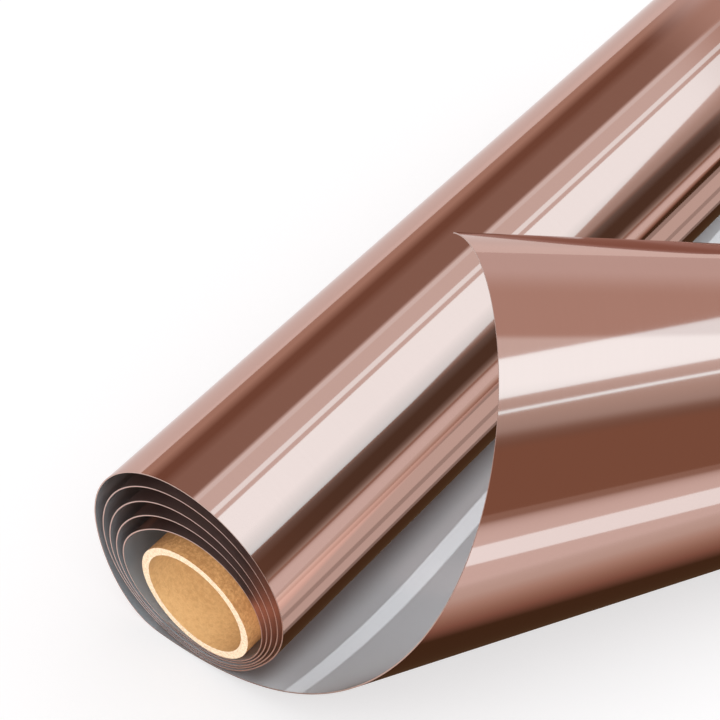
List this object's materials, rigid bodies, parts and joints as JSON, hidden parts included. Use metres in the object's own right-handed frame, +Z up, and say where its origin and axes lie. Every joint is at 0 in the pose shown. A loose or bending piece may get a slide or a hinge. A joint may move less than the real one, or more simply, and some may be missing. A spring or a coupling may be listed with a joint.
{
  "type": "foil roll",
  "caption": "Wide roll of copper mirror foil on a cardboard core, loosely wound, with a free leader that curls back over the roll.",
  "frame": {"origin": "centre of the core's near mouth, on the core's axis", "axes": "+Y along the roll, away from the near mouth; +X the way the leader leaves the roll; +Z up"},
  "size_m": [0.2625, 0.3309, 0.1268],
  "materials": {
    "copper_face": "copper coloured mirror foil, bright, outer face of the roll",
    "silver_back": "silver grey satin mirror, inner face of the roll",
    "tan_paper": "smooth tan paper liner",
    "core_board": "cream board with a cut edge",
    "kraft_paper": "brown kraft paper, spirally wound, slightly fibrous"
  },
  "bodies": {
    "coil": {"turn_1_copper_face": "copper_face", "turn_1_silver_back": "silver_back", "turn_2_copper_face": "copper_face", "turn_2_silver_back": "silver_back", "turn_3_copper_face": "copper_face", "turn_3_silver_back": "silver_back", "turn_4_copper_face": "copper_face", "turn_4_silver_back": "silver_back", "turn_5_copper_face": "copper_face", "turn_5_silver_back": "silver_back", "leader_flat_copper_face": "copper_face", "leader_flat_silver_back": "silver_back", "leader_foot_copper_face": "copper_face", "leader_foot_silver_back": "silver_back"},
    "core": {"core_inner_liner": "tan_paper", "core_board_body": "core_board", "core_kraft_wrap": "kraft_paper"},
    "leader": {"leader_rise_copper_face": "copper_face", "leader_rise_silver_back": "silver_back"},
    "curl": {"leader_curl_copper_face": "copper_face", "leader_curl_silver_back": "silver_back"}
  },
  "joints": [
    {"name": "core_spin", "type": "hinge", "parent": "coil", "child": "core", "pos_m": [0, 0, 0], "axis": [0, 1, 0], "continuous": true},
    {"name": "leader_swing", "type": "hinge", "parent": "coil", "child": "leader", "pos_m": [0.03182, 0.0015, -0.01886], "axis": [-0.4955, -0.8683, 0.0245], "range_deg": [-20, 6]},
    {"name": "curl_open", "type": "hinge", "parent": "leader", "child": "curl", "pos_m": [0.06921, 0.05572, 0.08216], "axis": [0.4711, 0.8491, -0.2389], "range_deg": [-5, 40]}
  ]
}
